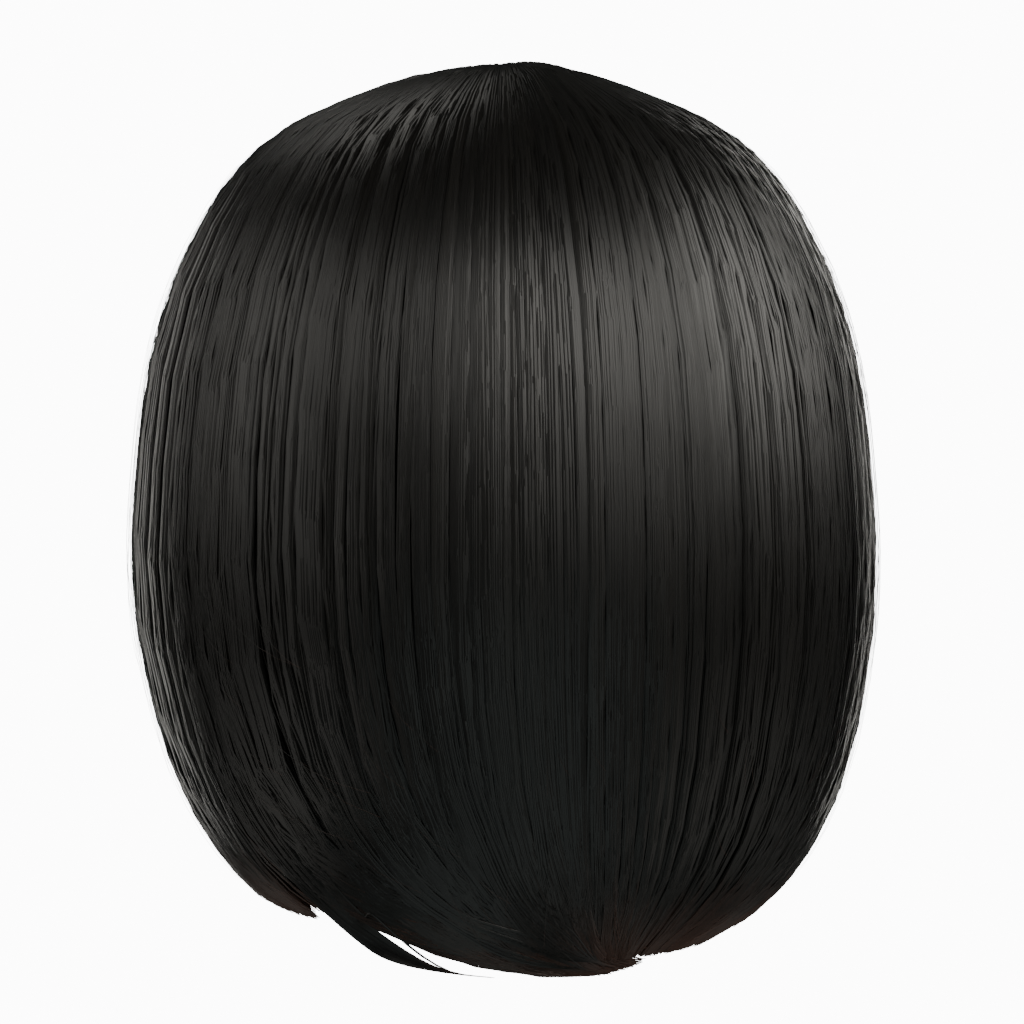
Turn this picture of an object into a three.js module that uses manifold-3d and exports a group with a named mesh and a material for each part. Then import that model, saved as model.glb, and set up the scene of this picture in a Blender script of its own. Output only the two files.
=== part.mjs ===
// A chin-length bob wig with a rounded outline and a full fringe, as it sits on a head.
// Millimetres, +Z up, the wearer facing -Y. The origin is where the top of the head meets the cap's inside.
// Azimuths go round in degrees, from the middle of the back over the wearer's left side, which is +X.
import * as THREE from "three";
import { mergeVertices } from "three/addons/utils/BufferGeometryUtils.js";
import Module from "manifold-3d";

const { clamp, degToRad, lerp, smoothstep } = THREE.MathUtils;

// The head that the cap is sewn for
const HEAD_BREADTH = 154;
const HEAD_LENGTH = 192;
const HEAD_DROP = 100; // from the top of the head down to its widest level
const HEAD_FULLNESS = 2.3; // 2 is an ellipsoid, and more is squarer at the top

// The cap, in a crown and a band sewn round it, and the strip of false scalp that shows in the parting
const CAP_WALL = 1.5;
const CAP_SEAM = 0.5; // where the band meets the crown, as a share of the way from the top to the rim
const PART_WIDTH = 6;
const PART_BACK = 30; // the parting's back end, behind the origin
const PART_FRONT = 24; // and its front end, before it
const PART_WALL = 1.2;

// The body of hair, outwards from the cap
const CROWN_VOLUME = 6;
const SIDE_VOLUME = 26.8;
const BACK_VOLUME = 20;
const FRONT_VOLUME = 14;
const HAIR_HEIGHT = 261; // from the top of the hair to its lowest ends
const HEM_LEAN = 4.5; // how far the hem stands to the wearer's right of the crown
const HAIR_WALL = 34; // the hair's depth, where the head isn't nearer
const ROOT_STAND = 1.8; // how high the hair stands at the parting's edge
const ROOT_RISE = 0.045; // where it reaches its full volume, as a share of the way from crown to hem

// Locks
const LOCK_LIFT = 2.2;
const LOCK_TIP = 6;
const LOCK_BEGIN = 0.12; // where locks begin to part, as a share of the way from crown to hem
const LOCK_FULL = 0.5; // and where they stand out fully
const SWEEP_BEGIN = 0.65; // where the ends begin to sweep round
const SWEEP_POWER = 3; // and how late in the rest of the way they do most of it
const WISP_WIDTH = 7;
const WISP_THICKNESS = 4;
const WISP_DEPTH = 0.45; // how deep in the hair's wall the wisp lies, as a share of the wall

// Clearances
const SEAT_GAP = 0.8; // between the cap and what lies on it
const SECTION_GAP = 0.4; // between neighbouring sections of hair or of the cap, and round the scalp strip

// Where one section of hair ends and the next begins
const LEFT_EDGE = 56;
const RIGHT_EDGE = -62;
const FRINGE_EDGE = 138;
const FULL_TURN = 360;

// Faces
const LOCK_COLUMNS = 4;
const HAIR_ROWS = 20;
const FRINGE_ROWS = 11;
const CROWN_ROWS = 5;
const BAND_ROWS = 6;
const CAP_COLUMNS = 40;
const PART_ROWS = 3;
const PART_COLUMNS = 24;
const WISP_ROWS = 14;
const WISP_SIDES = 8;

const WELD = 1e-3; // points nearer than this are one point
const HALVINGS = 30;

// The hair's outside from crown to hem, in even steps. drop is a share of HAIR_HEIGHT. side, back and front
// are shares of the way from the parting's edge to the full reach. lean is a share of HEM_LEAN, and wall of
// HAIR_WALL.
const FALL = [
  { drop: 0.0, side: 0.0, back: 0.0, front: 0.0, lean: 0.0, wall: 1.0 },
  { drop: 0.013, side: 0.24, back: 0.16, front: 0.16, lean: 0.0, wall: 1.0 },
  { drop: 0.042, side: 0.42, back: 0.32, front: 0.36, lean: 0.0, wall: 1.0 },
  { drop: 0.083, side: 0.605, back: 0.5, front: 0.555, lean: 0.0, wall: 1.0 },
  { drop: 0.131, side: 0.73, back: 0.65, front: 0.72, lean: 0.0, wall: 1.0 },
  { drop: 0.193, side: 0.824, back: 0.78, front: 0.845, lean: 0.0, wall: 1.0 },
  { drop: 0.265, side: 0.903, back: 0.88, front: 0.935, lean: 0.0, wall: 1.0 },
  { drop: 0.353, side: 0.958, back: 0.95, front: 0.988, lean: 0.0, wall: 0.92 },
  { drop: 0.443, side: 0.984, back: 0.99, front: 1.0, lean: 0.0, wall: 0.72 },
  { drop: 0.552, side: 1.0, back: 1.0, front: 0.98, lean: 0.02, wall: 0.54 },
  { drop: 0.665, side: 0.975, back: 0.963, front: 0.917, lean: 0.15, wall: 0.47 },
  { drop: 0.797, side: 0.89, back: 0.845, front: 0.78, lean: 0.45, wall: 0.42 },
  { drop: 0.905, side: 0.73, back: 0.675, front: 0.612, lean: 0.75, wall: 0.34 },
  { drop: 1.0, side: 0.45, back: 0.43, front: 0.43, lean: 1.0, wall: 0.26 },
];

// Each section's hem, by the azimuth at which its hair leaves the parting: how far down the hair ends, as a
// share of HAIR_HEIGHT, and how far its ends sweep round, in degrees.
const BACK_HEM = [
  { azimuth: -62, drop: 0.962, turn: 9 },
  { azimuth: -34, drop: 0.978, turn: 0 },
  { azimuth: 0, drop: 0.99, turn: -11 },
  { azimuth: 20, drop: 0.984, turn: -15 },
  { azimuth: 35, drop: 0.972, turn: -16 },
  { azimuth: 56, drop: 0.94, turn: -15 },
];
const LEFT_HEM = [
  { azimuth: 56, drop: 0.91, turn: -11 },
  { azimuth: 70, drop: 0.922, turn: -7 },
  { azimuth: 100, drop: 0.92, turn: -3 },
  { azimuth: 138, drop: 0.935, turn: 8 },
];
const RIGHT_HEM = [
  { azimuth: -138, drop: 0.935, turn: -8 },
  { azimuth: -100, drop: 0.93, turn: 0 },
  { azimuth: -80, drop: 0.94, turn: 5 },
  { azimuth: -62, drop: 0.962, turn: 9 },
];
const FRINGE_HEM = [
  { azimuth: 138, drop: 0.418, turn: 0 },
  { azimuth: 160, drop: 0.405, turn: 0 },
  { azimuth: 200, drop: 0.405, turn: 0 },
  { azimuth: 222, drop: 0.418, turn: 0 },
];

// The thin lock that comes out under the hem at the back, in even steps from inside the hair to its point.
// drop is a share of HAIR_HEIGHT, and size a share of the wisp's width and thickness.
const WISP = [
  { azimuth: 44, drop: 0.9, size: 0.7 },
  { azimuth: 45, drop: 0.922, size: 1.0 },
  { azimuth: 43, drop: 0.945, size: 1.0 },
  { azimuth: 38, drop: 0.965, size: 0.8 },
  { azimuth: 30, drop: 0.982, size: 0.5 },
  { azimuth: 18, drop: 0.997, size: 0.15 },
];

// The cap's rim: over the nape, up behind the ear, down before it and over the forehead. drop is a share of
// HEAD_DROP.
const CAP_RIM = [
  { azimuth: 0, drop: 1.4 },
  { azimuth: 35, drop: 1.33 },
  { azimuth: 62, drop: 1.1 },
  { azimuth: 85, drop: 0.93 },
  { azimuth: 105, drop: 1.0 },
  { azimuth: 122, drop: 1.02 },
  { azimuth: 140, drop: 0.7 },
  { azimuth: 180, drop: 0.5 },
];

// Locks across each section: their widths beside each other, how far they stand out, as a share of
// LOCK_LIFT, and how far their tips hang below the hem, as a share of LOCK_TIP
const BACK_LOCKS = [
  { width: 1.1, lift: 0.8, tip: 0.7 },
  { width: 0.8, lift: 0.5, tip: 0.0 },
  { width: 1.3, lift: 0.9, tip: 0.5 },
  { width: 0.9, lift: 0.6, tip: -0.5 },
  { width: 1.2, lift: 1.0, tip: 0.8 },
  { width: 1.0, lift: 0.5, tip: 0.3 },
  { width: 1.3, lift: 0.8, tip: 0.6 },
  { width: 0.8, lift: 0.6, tip: -0.3 },
  { width: 1.2, lift: 1.0, tip: 0.7 },
];
const LEFT_LOCKS = [
  { width: 1.2, lift: 0.7, tip: 0.8 },
  { width: 0.9, lift: 0.5, tip: 0.3 },
  { width: 1.1, lift: 0.9, tip: 0.5 },
  { width: 0.8, lift: 0.6, tip: 0.7 },
  { width: 1.2, lift: 0.8, tip: 0.4 },
];
const RIGHT_LOCKS = [
  { width: 1.0, lift: 0.8, tip: 0.6 },
  { width: 1.2, lift: 0.7, tip: 0.3 },
  { width: 0.8, lift: 0.5, tip: 0.6 },
  { width: 1.1, lift: 0.9, tip: 0.2 },
  { width: 1.0, lift: 0.6, tip: 0.4 },
];
const FRINGE_LOCKS = [
  { width: 1.0, lift: 0.5, tip: 0.3 },
  { width: 0.8, lift: 0.7, tip: 0.6 },
  { width: 1.2, lift: 0.5, tip: 0.4 },
  { width: 0.9, lift: 0.6, tip: 0.7 },
  { width: 1.1, lift: 0.5, tip: 0.4 },
  { width: 0.9, lift: 0.7, tip: 0.5 },
];

// The hair's full reach from the origin, and its top
const overCap = (volume) => CAP_WALL + SEAT_GAP + volume;
const SIDE_REACH = HEAD_BREADTH / 2 + overCap(SIDE_VOLUME);
const BACK_REACH = HEAD_LENGTH / 2 + overCap(BACK_VOLUME);
const FRONT_REACH = HEAD_LENGTH / 2 + overCap(FRONT_VOLUME);
const HAIR_TOP = overCap(CROWN_VOLUME);
const HEAD_CENTRE = new THREE.Vector3(0, 0, -HEAD_DROP);

// A column of a table of even steps, at a share of the way along it, on a smooth curve through its rows.
function along(table, column, share) {
  const place = share * (table.length - 1);
  const row = Math.min(Math.floor(place), table.length - 2);
  const value = (index) => table[clamp(index, 0, table.length - 1)][column];
  const [start, end] = [value(row), value(row + 1)];
  const startSlope = (end - value(row - 1)) / 2;
  const endSlope = (value(row + 2) - start) / 2;
  const bend = 3 * (end - start) - 2 * startSlope - endSlope;
  const twist = startSlope + endSlope - 2 * (end - start);
  const t = place - row;
  return start + t * (startSlope + t * (bend + t * twist));
}

// A column of a table whose rows have azimuths, easing from row to row.
function round(table, column, azimuth) {
  const next = table.findIndex((row) => row.azimuth >= azimuth);
  if (next < 0) return table.at(-1)[column];
  if (next === 0) return table[0][column];
  const [low, high] = [table[next - 1], table[next]];
  const share = smoothstep(azimuth, low.azimuth, high.azimuth);
  return lerp(low[column], high[column], share);
}

// The share of the way from crown to hem at which the hair has fallen by a share of HAIR_HEIGHT.
function shareAtDrop(drop) {
  let [low, high] = [0, 1];
  for (let step = 0; step < HALVINGS; step++) {
    const middle = (low + high) / 2;
    if (along(FALL, "drop", middle) < drop) low = middle;
    else high = middle;
  }
  return high;
}

// How far out a place is, as a share of the head's widest outline grown by an offset.
const headShare = (x, y, offset) =>
  Math.hypot(x / (HEAD_BREADTH / 2 + offset), y / (HEAD_LENGTH / 2 + offset));

// The height of the head's surface, grown by an offset, over a place above its widest level.
function headHeight(x, y, offset) {
  const flat = headShare(x, y, offset);
  const rise = (1 - flat ** HEAD_FULLNESS) ** (1 / HEAD_FULLNESS);
  return HEAD_CENTRE.z + (HEAD_DROP + offset) * rise;
}

// How far a direction from a core reaches the head's surface, grown by an offset.
function headReach(core, direction, offset) {
  const height = HEAD_DROP + offset;
  const flat = headShare(direction.x, direction.y, offset);
  const below = Math.min((HEAD_CENTRE.z - core.z) / height, 1);
  if (below > 0) return (1 - below ** HEAD_FULLNESS) ** (1 / HEAD_FULLNESS) / flat;
  const up = Math.abs(direction.z) / height;
  return (flat ** HEAD_FULLNESS + up ** HEAD_FULLNESS) ** (-1 / HEAD_FULLNESS);
}

// What a point of the hair lies over: the head's centre, or the neck's middle line below it.
const coreOf = (point) => new THREE.Vector3(0, 0, Math.min(point.z, HEAD_CENTRE.z));

// A point moved in towards its core by a depth, but no nearer the head than the cap leaves room for.
function inwards(point, depth) {
  const core = coreOf(point);
  const direction = point.clone().sub(core);
  const distance = direction.length();
  direction.normalize();
  const nearest = headReach(core, direction, overCap(0));
  return core.addScaledVector(direction, Math.max(distance - depth, nearest));
}

// A point moved out from its core by a lift.
function outwards(point, lift) {
  const direction = point.clone().sub(coreOf(point)).normalize();
  return point.clone().addScaledVector(direction, lift);
}

const wallAt = (share) => HAIR_WALL * along(FALL, "wall", share);

// The parting's edge at an azimuth, drawn in by a clearance and lifted off the head by an offset.
function partingEdge(azimuth, clearance, offset) {
  const angle = degToRad(azimuth);
  const length = Math.cos(angle) > 0 ? PART_BACK : PART_FRONT;
  const x = Math.sin(angle) * (PART_WIDTH / 2 - clearance);
  const y = Math.cos(angle) * (length - clearance);
  return new THREE.Vector3(x, y, headHeight(x, y, offset));
}

// The hair's outside at an azimuth and a share of the way from crown to hem, before its locks.
function fallPoint(azimuth, share) {
  const angle = degToRad(azimuth);
  const behind = Math.cos(angle);
  const [reach, column] = behind > 0 ? [BACK_REACH, "back"] : [FRONT_REACH, "front"];
  const root = partingEdge(azimuth, 0, overCap(ROOT_STAND));
  const rise = smoothstep(share, 0, ROOT_RISE);
  const lean = HEM_LEAN * along(FALL, "lean", share);
  return new THREE.Vector3(
    lerp(root.x, Math.sin(angle) * SIDE_REACH, along(FALL, "side", share)) - lean,
    lerp(root.y, behind * reach, along(FALL, column, share)),
    lerp(root.z, HAIR_TOP, rise) - HAIR_HEIGHT * along(FALL, "drop", share),
  );
}

// Columns across a section, each with its azimuth, its lock and how far up the lock's round back it lies.
function lockColumns(from, to, locks) {
  const total = locks.reduce((sum, lock) => sum + lock.width, 0);
  const columns = [];
  let start = from;
  for (const lock of locks) {
    const width = ((to - from) * lock.width) / total;
    for (let step = 0; step < LOCK_COLUMNS; step++) {
      const share = step / LOCK_COLUMNS;
      columns.push({ azimuth: start + width * share, lock, crest: Math.sin(Math.PI * share) });
    }
    start += width;
  }
  columns.push({ azimuth: to, lock: locks.at(-1), crest: 0 });
  return columns;
}

// The geometry of a solid from points and faces, with doubled points merged and collapsed faces dropped.
function solidGeometry(points, faces) {
  const loose = new THREE.BufferGeometry().setFromPoints(points).setIndex(faces);
  const merged = mergeVertices(loose, WELD);
  const corners = merged.index.array;
  const kept = [];
  for (let i = 0; i < corners.length; i += 3) {
    const [a, b, c] = corners.slice(i, i + 3);
    if (a !== b && b !== c && c !== a) kept.push(a, b, c);
  }
  merged.setIndex(kept);
  merged.computeVertexNormals();
  return merged;
}

// A wall between two grids of points, rows by columns. A ring's last column meets its first.
function wallGeometry(outside, inside, ring) {
  const rows = outside.length;
  const columns = outside[0].length;
  const lastRow = rows - 1;
  const lastColumn = ring ? columns : columns - 1;
  const faces = [];
  const outer = (row, column) => row * columns + (column % columns);
  const inner = (row, column) => rows * columns + outer(row, column);
  const quad = (a, b, c, d) => faces.push(a, b, c, a, c, d);
  for (let column = 0; column < lastColumn; column++) {
    const next = column + 1;
    for (let row = 0; row < lastRow; row++) {
      const below = row + 1;
      quad(outer(row, column), outer(row, next), outer(below, next), outer(below, column));
      quad(inner(row, column), inner(below, column), inner(below, next), inner(row, next));
    }
    quad(inner(0, column), inner(0, next), outer(0, next), outer(0, column));
    quad(outer(lastRow, column), outer(lastRow, next), inner(lastRow, next), inner(lastRow, column));
  }
  for (let row = 0; row < lastRow && !ring; row++) {
    const [below, last] = [row + 1, lastColumn];
    quad(outer(row, 0), outer(below, 0), inner(below, 0), inner(row, 0));
    quad(outer(row, last), inner(row, last), inner(below, last), outer(below, last));
  }
  return solidGeometry([...outside.flat(), ...inside.flat()], faces);
}

// A row of points with its first and last drawn in by half of the gap between sections.
function drawnIn(row) {
  const step = (point, other) => other.clone().sub(point).setLength(SECTION_GAP / 2);
  const toward = (point, other) => point.clone().add(step(point, other));
  return [toward(row[0], row[1]), ...row.slice(1, -1), toward(row.at(-1), row.at(-2))];
}

// A section of hair from the parting to its hem.
function hairSection(from, to, locks, hem, rows) {
  const columns = lockColumns(from, to, locks);
  const [outside, inside] = [[], []];
  for (let row = 0; row <= rows; row++) {
    const [outerRow, innerRow] = [[], []];
    for (const { azimuth, lock, crest } of columns) {
      const end = round(hem, "drop", azimuth) + (lock.tip * crest * LOCK_TIP) / HAIR_HEIGHT;
      const share = (shareAtDrop(end) * row) / rows;
      const swept = Math.max((share - SWEEP_BEGIN) / (1 - SWEEP_BEGIN), 0) ** SWEEP_POWER;
      const point = fallPoint(azimuth + round(hem, "turn", azimuth) * swept, share);
      const lift = LOCK_LIFT * lock.lift * crest * smoothstep(share, LOCK_BEGIN, LOCK_FULL);
      outerRow.push(outwards(point, lift));
      innerRow.push(inwards(point, wallAt(share)));
    }
    outside.push(drawnIn(outerRow));
    inside.push(drawnIn(innerRow));
  }
  return wallGeometry(outside, inside, false);
}

// The thin lock under the hem: a flat tube along a curve, closed at its root and its point.
function wispGeometry() {
  const route = new THREE.CatmullRomCurve3(
    WISP.map(({ azimuth, drop }) => {
      const share = shareAtDrop(drop);
      return inwards(fallPoint(azimuth, share), wallAt(share) * WISP_DEPTH);
    }),
  );
  const outside = [];
  for (let row = 0; row <= WISP_ROWS; row++) {
    const share = row / WISP_ROWS;
    const middle = route.getPoint(share);
    const size = along(WISP, "size", share) / 2;
    const out = middle.clone().sub(coreOf(middle)).normalize();
    const across = route.getTangent(share).cross(out).normalize();
    outside.push(
      Array.from({ length: WISP_SIDES }, (_, side) => {
        const angle = degToRad((FULL_TURN * side) / WISP_SIDES);
        return middle
          .clone()
          .addScaledVector(across, Math.cos(angle) * size * WISP_WIDTH)
          .addScaledVector(out, Math.sin(angle) * size * WISP_THICKNESS);
      }),
    );
  }
  return tubeGeometry(outside, route);
}

// A tube through rings of points, closed by a fan at each end of its route.
function tubeGeometry(rings, route) {
  const sides = rings[0].length;
  const points = [...rings.flat(), route.getPoint(0), route.getPoint(1)];
  const [rootEnd, tipEnd] = [points.length - 2, points.length - 1];
  const at = (row, side) => row * sides + (side % sides);
  const last = rings.length - 1;
  const faces = [];
  for (let side = 0; side < sides; side++) {
    for (let row = 0; row < last; row++) {
      faces.push(at(row, side), at(row, side + 1), at(row + 1, side + 1));
      faces.push(at(row, side), at(row + 1, side + 1), at(row + 1, side));
    }
    faces.push(rootEnd, at(0, side + 1), at(0, side));
    faces.push(tipEnd, at(last, side), at(last, side + 1));
  }
  return solidGeometry(points, faces);
}

// A part of the cap: a thin wall over the head between two shares of the way from its top to the rim.
function capGeometry(from, to, rows) {
  const [outside, inside] = [[], []];
  for (let row = 0; row <= rows; row++) {
    const directions = Array.from({ length: CAP_COLUMNS }, (_, column) => {
      const azimuth = (FULL_TURN * column) / CAP_COLUMNS;
      const rim = round(CAP_RIM, "drop", Math.min(azimuth, FULL_TURN - azimuth));
      const rimTilt = Math.acos(1 - rim);
      const clearOfSeam = from > 0 ? SECTION_GAP / (HEAD_DROP * rimTilt) : 0;
      const tilt = rimTilt * lerp(from + clearOfSeam, to, row / rows);
      const angle = degToRad(azimuth);
      return new THREE.Vector3(
        (Math.sin(tilt) * Math.sin(angle) * HEAD_BREADTH) / 2,
        (Math.sin(tilt) * Math.cos(angle) * HEAD_LENGTH) / 2,
        Math.cos(tilt) * HEAD_DROP,
      ).normalize();
    });
    const shell = (offset) =>
      directions.map((direction) =>
        HEAD_CENTRE.clone().addScaledVector(direction, headReach(HEAD_CENTRE, direction, offset)),
      );
    outside.push(shell(CAP_WALL));
    inside.push(shell(0));
  }
  return wallGeometry(outside, inside, true);
}

// The strip of false scalp in the parting, lying on the cap.
function partingGeometry() {
  const sheet = (offset) =>
    Array.from({ length: PART_ROWS + 1 }, (_, row) =>
      Array.from({ length: PART_COLUMNS }, (_, column) => {
        const edge = partingEdge((FULL_TURN * column) / PART_COLUMNS, SECTION_GAP, offset);
        const [x, y] = [edge.x, edge.y].map((value) => (value * row) / PART_ROWS);
        return new THREE.Vector3(x, y, headHeight(x, y, offset));
      }),
    );
  return wallGeometry(sheet(overCap(PART_WALL)), sheet(overCap(0)), true);
}

const wasm = await Module();
wasm.setup();

// A solid of the joining library from a geometry.
function solidOf(geometry) {
  const bare = new THREE.BufferGeometry();
  bare.setAttribute("position", geometry.getAttribute("position"));
  bare.setIndex(geometry.index);
  const merged = mergeVertices(bare, WELD);
  const vertProperties = new Float32Array(merged.getAttribute("position").array);
  const triVerts = new Uint32Array(merged.index.array);
  return new wasm.Manifold(new wasm.Mesh({ numProp: 3, vertProperties, triVerts }));
}

// The geometry of two overlapping geometries joined.
function joined(first, second) {
  const mesh = solidOf(first).add(solidOf(second)).getMesh();
  const geometry = new THREE.BufferGeometry();
  geometry.setAttribute("position", new THREE.BufferAttribute(mesh.vertProperties, 3));
  geometry.setIndex(new THREE.BufferAttribute(mesh.triVerts, 1));
  geometry.computeVertexNormals();
  return geometry;
}

const hairMaterial = new THREE.MeshStandardMaterial({ color: 0x1a1918, roughness: 0.38, metalness: 0 });
const netMaterial = new THREE.MeshStandardMaterial({ color: 0x141313, roughness: 0.9, metalness: 0 });
const scalpMaterial = new THREE.MeshStandardMaterial({ color: 0x8d8279, roughness: 0.7, metalness: 0 });

const wig = new THREE.Group();

function addMesh(name, geometry, material) {
  const mesh = new THREE.Mesh(geometry, material);
  mesh.name = name;
  wig.add(mesh);
}

const backGeometry = hairSection(RIGHT_EDGE, LEFT_EDGE, BACK_LOCKS, BACK_HEM, HAIR_ROWS);
const leftGeometry = hairSection(LEFT_EDGE, FRINGE_EDGE, LEFT_LOCKS, LEFT_HEM, HAIR_ROWS);
const rightGeometry = hairSection(-FRINGE_EDGE, RIGHT_EDGE, RIGHT_LOCKS, RIGHT_HEM, HAIR_ROWS);
const fringeEnd = FULL_TURN - FRINGE_EDGE;
const fringeGeometry = hairSection(FRINGE_EDGE, fringeEnd, FRINGE_LOCKS, FRINGE_HEM, FRINGE_ROWS);

addMesh("cap_crown", capGeometry(0, CAP_SEAM, CROWN_ROWS), netMaterial);
addMesh("cap_band", capGeometry(CAP_SEAM, 1, BAND_ROWS), netMaterial);
addMesh("parting", partingGeometry(), scalpMaterial);
addMesh("hair_back", joined(backGeometry, wispGeometry()), hairMaterial);
addMesh("hair_left", leftGeometry, hairMaterial);
addMesh("hair_right", rightGeometry, hairMaterial);
addMesh("fringe", fringeGeometry, hairMaterial);

export default wig;
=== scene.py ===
"""A chin-length bob wig, dressed strand by strand round its packed cap and sections of hair.

The hair hangs from a short parting in the middle of the crown, rounds out over the head and turns under at
the hem. Azimuths go round in degrees from the middle of the back over the wearer's left side, which is +X.
A share runs from 0 at the crown to 1 at the hem. Everything is in metres, in the frame's own axes.
"""

import logging
import math
from collections.abc import Iterable
from dataclasses import dataclass
from enum import Enum

import bpy
import numpy as np
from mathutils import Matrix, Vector

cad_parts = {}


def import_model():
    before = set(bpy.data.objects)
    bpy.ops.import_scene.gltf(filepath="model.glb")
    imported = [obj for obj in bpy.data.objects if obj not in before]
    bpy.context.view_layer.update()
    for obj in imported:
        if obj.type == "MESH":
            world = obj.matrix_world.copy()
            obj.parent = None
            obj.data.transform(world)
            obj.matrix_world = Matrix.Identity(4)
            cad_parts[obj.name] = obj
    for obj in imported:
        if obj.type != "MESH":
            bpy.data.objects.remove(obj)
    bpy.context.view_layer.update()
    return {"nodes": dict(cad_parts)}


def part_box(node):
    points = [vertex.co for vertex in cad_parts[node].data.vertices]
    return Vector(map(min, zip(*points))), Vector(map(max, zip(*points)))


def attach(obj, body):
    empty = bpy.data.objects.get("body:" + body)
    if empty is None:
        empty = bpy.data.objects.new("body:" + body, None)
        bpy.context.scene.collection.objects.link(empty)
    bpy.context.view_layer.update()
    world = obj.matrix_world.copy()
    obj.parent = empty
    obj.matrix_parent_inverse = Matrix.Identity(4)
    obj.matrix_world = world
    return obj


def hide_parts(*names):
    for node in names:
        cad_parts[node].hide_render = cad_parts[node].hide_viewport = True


log = logging.getLogger("bob_wig")

BODY = "root"
MERGE_DISTANCE = 1e-6
CREASE_ANGLE = math.radians(50)
# The hem stays this little short of the very end of the fall, as a share.
LAST_SHARE = 0.9995

# The hair's fall in even steps from crown to hem: shares of its height, of its reach to the side, to the
# back and to the front, of the hem's lean, and of the depth of its wall.
FALL_DROP = (0, 0.013, 0.042, 0.083, 0.131, 0.193, 0.265, 0.353, 0.443, 0.552, 0.665, 0.797, 0.905, 1)
FALL_SIDE = (0, 0.24, 0.42, 0.605, 0.73, 0.824, 0.903, 0.958, 0.984, 1, 0.975, 0.89, 0.73, 0.45)
FALL_BACK = (0, 0.16, 0.32, 0.5, 0.65, 0.78, 0.88, 0.95, 0.99, 1, 0.963, 0.845, 0.675, 0.43)
FALL_FRONT = (0, 0.16, 0.36, 0.555, 0.72, 0.845, 0.935, 0.988, 1, 0.98, 0.917, 0.78, 0.612, 0.43)
FALL_LEAN = (0, 0, 0, 0, 0, 0, 0, 0, 0, 0.02, 0.15, 0.45, 0.75, 1)
FALL_WALL = (1, 1, 1, 1, 1, 1, 1, 0.92, 0.72, 0.54, 0.47, 0.42, 0.34, 0.26)

# Where the hem lies, by the azimuth at which a strand ends: the share of the height it has fallen. Hair
# from the wearer's right stops a little short of the locks that come round from the left.
HEM_FROM_LEFT = (
    (-146, 0.935), (-60, 0.955), (-38, 0.988), (-30, 0.996), (-20, 0.9995), (-9, 0.9993), (3, 0.991),
    (15, 0.977), (22, 0.965), (32, 0.954), (47, 0.929), (50, 0.93), (54, 0.937), (62, 0.934), (75, 0.926),
    (97, 0.92), (146, 0.935),
)
HEM_FROM_RIGHT = (
    (-146, 0.935), (-100, 0.932), (-80, 0.946), (-72, 0.953), (-64, 0.964), (-52, 0.973), (-43, 0.9755),
    (-34, 0.979), (-26, 0.981), (-10, 0.98), (146, 0.935),
)

# How far the outermost ends sweep round on their way to the hem, in degrees, by the azimuth at which they
# leave the crown.
SWEEP = (
    (-138, -8), (-122, 3), (-105, 15), (-92, 29), (-80, 32), (-70, 25), (-60, 16), (-50, 9), (-40, 3),
    (-30, -3), (-20, -10), (-10, -20), (5, -38), (20, -57), (35, -73), (45, -83), (56, -92), (58.5, -72),
    (61, -8), (70, -16), (80, -26), (90, -34), (100, -36), (112, -26), (125, -8), (138, 8),
)


def looked_up(table: tuple, azimuth: np.ndarray) -> np.ndarray:
    """The value of a table of azimuths and values, at some azimuths."""
    places, values = zip(*table)
    return np.interp(azimuth, places, values)


def ease(value: np.ndarray, start: float, end: float) -> np.ndarray:
    """A smooth step from 0 at start to 1 at end.

    Args:
        value: where along the step.
        start: the value at which it begins.
        end: the value at which it is done.

    Returns:
        The eased step, as value is shaped.
    """
    t = np.clip((value - start) / (end - start), 0.0, 1.0)
    return t * t * (3.0 - 2.0 * t)


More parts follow.
